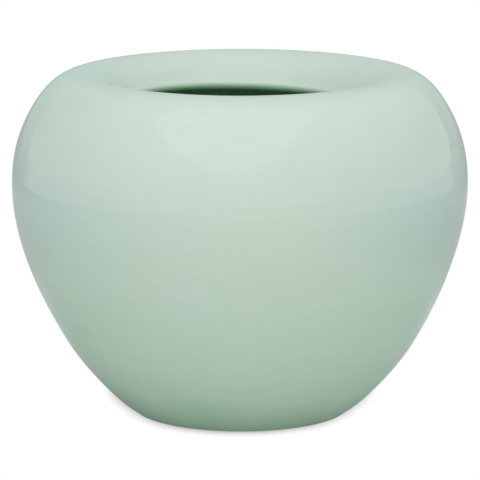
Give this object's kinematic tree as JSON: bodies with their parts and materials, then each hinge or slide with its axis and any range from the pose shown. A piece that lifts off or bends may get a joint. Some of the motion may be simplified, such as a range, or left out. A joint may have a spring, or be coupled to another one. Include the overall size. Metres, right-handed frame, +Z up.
{
  "type": "brush holder pot",
  "caption": "Wide rounded glazed pot whose shoulder rolls over a soft ridge and slopes in to a sunken open mouth, for standing brushes in.",
  "frame": {"origin": "centre of the foot ring's rim, on the table", "axes": "+Z up, along the pot's axis of turning; the pot is round, so X and Y are free"},
  "size_m": [0.15, 0.15, 0.1127],
  "materials": {
    "stoneware": "bare fired pale buff stoneware, matte and slightly gritty",
    "slip": "fired joining slip, matte",
    "celadon_glaze": "pale blue-green celadon glaze, glossy",
    "celadon_glaze_inside": "celadon glaze in the well, glossy, a little deeper in colour"
  },
  "bodies": {
    "root": {"lower_body": "stoneware", "luting_slip": "slip", "upper_body": "stoneware", "foot_ring": "stoneware", "outer_glaze": "celadon_glaze", "inner_glaze": "celadon_glaze_inside", "base_glaze": "celadon_glaze"}
  },
  "joints": []
}
